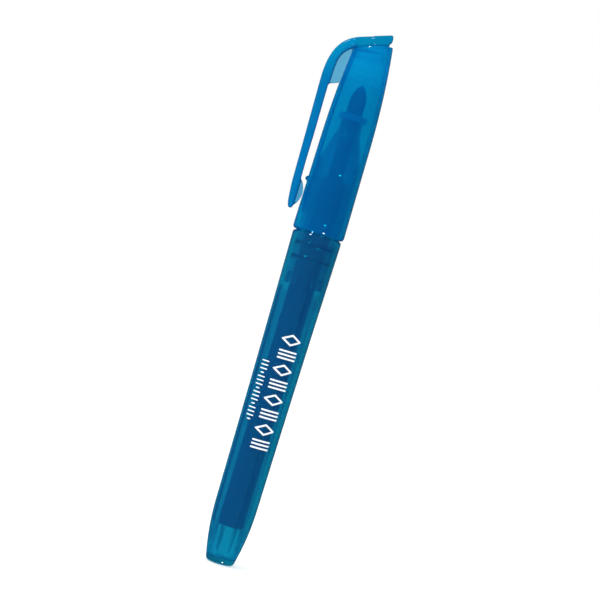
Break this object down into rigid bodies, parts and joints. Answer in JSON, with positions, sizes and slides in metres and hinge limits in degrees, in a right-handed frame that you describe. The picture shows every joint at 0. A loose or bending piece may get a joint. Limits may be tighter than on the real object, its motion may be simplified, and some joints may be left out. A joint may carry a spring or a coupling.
{
  "type": "highlighter pen",
  "caption": "See-through capped highlighter pen with a bullet nib, ink reservoir, pull-off cap and flexing pocket clip.",
  "frame": {"origin": "centre of the flat tail face", "axes": "+Z along the pen from the tail to the cap's crown, the clip on the -X side, +Y across the clip"},
  "size_m": [0.0175, 0.0134, 0.14],
  "materials": {
    "barrel_plastic": "polished, see-through tinted plastic",
    "section_plastic": "polished, see-through tinted plastic",
    "cap_plastic": "polished, see-through tinted plastic",
    "inner_plastic": "natural, cloudy plastic",
    "clip_plastic": "polished, see-through tinted plastic",
    "nib_felt": "bonded porous fibre, wet with ink",
    "ink_fibre": "packed fibre, wet with ink",
    "film": "thin clear film"
  },
  "bodies": {
    "pen": {"barrel": "barrel_plastic", "front_section": "section_plastic", "nib": "nib_felt", "reservoir_core": "ink_fibre", "reservoir_film": "film"},
    "cap": {"cap_shell": "cap_plastic", "inner_cap": "inner_plastic", "crown_clip": "clip_plastic"},
    "clip": {"clip_arm": "clip_plastic"}
  },
  "joints": [
    {"name": "cap_pull", "type": "slide", "parent": "pen", "child": "cap", "axis": [0, 0, 1], "range_m": [0, 0.048]},
    {"name": "clip_flex", "type": "hinge", "parent": "cap", "child": "clip", "pos_m": [-0.01078, 0, 0.1236], "axis": [0, 1, 0], "range_deg": [0, 5], "stiffness_Nm_per_rad": 0.05}
  ]
}
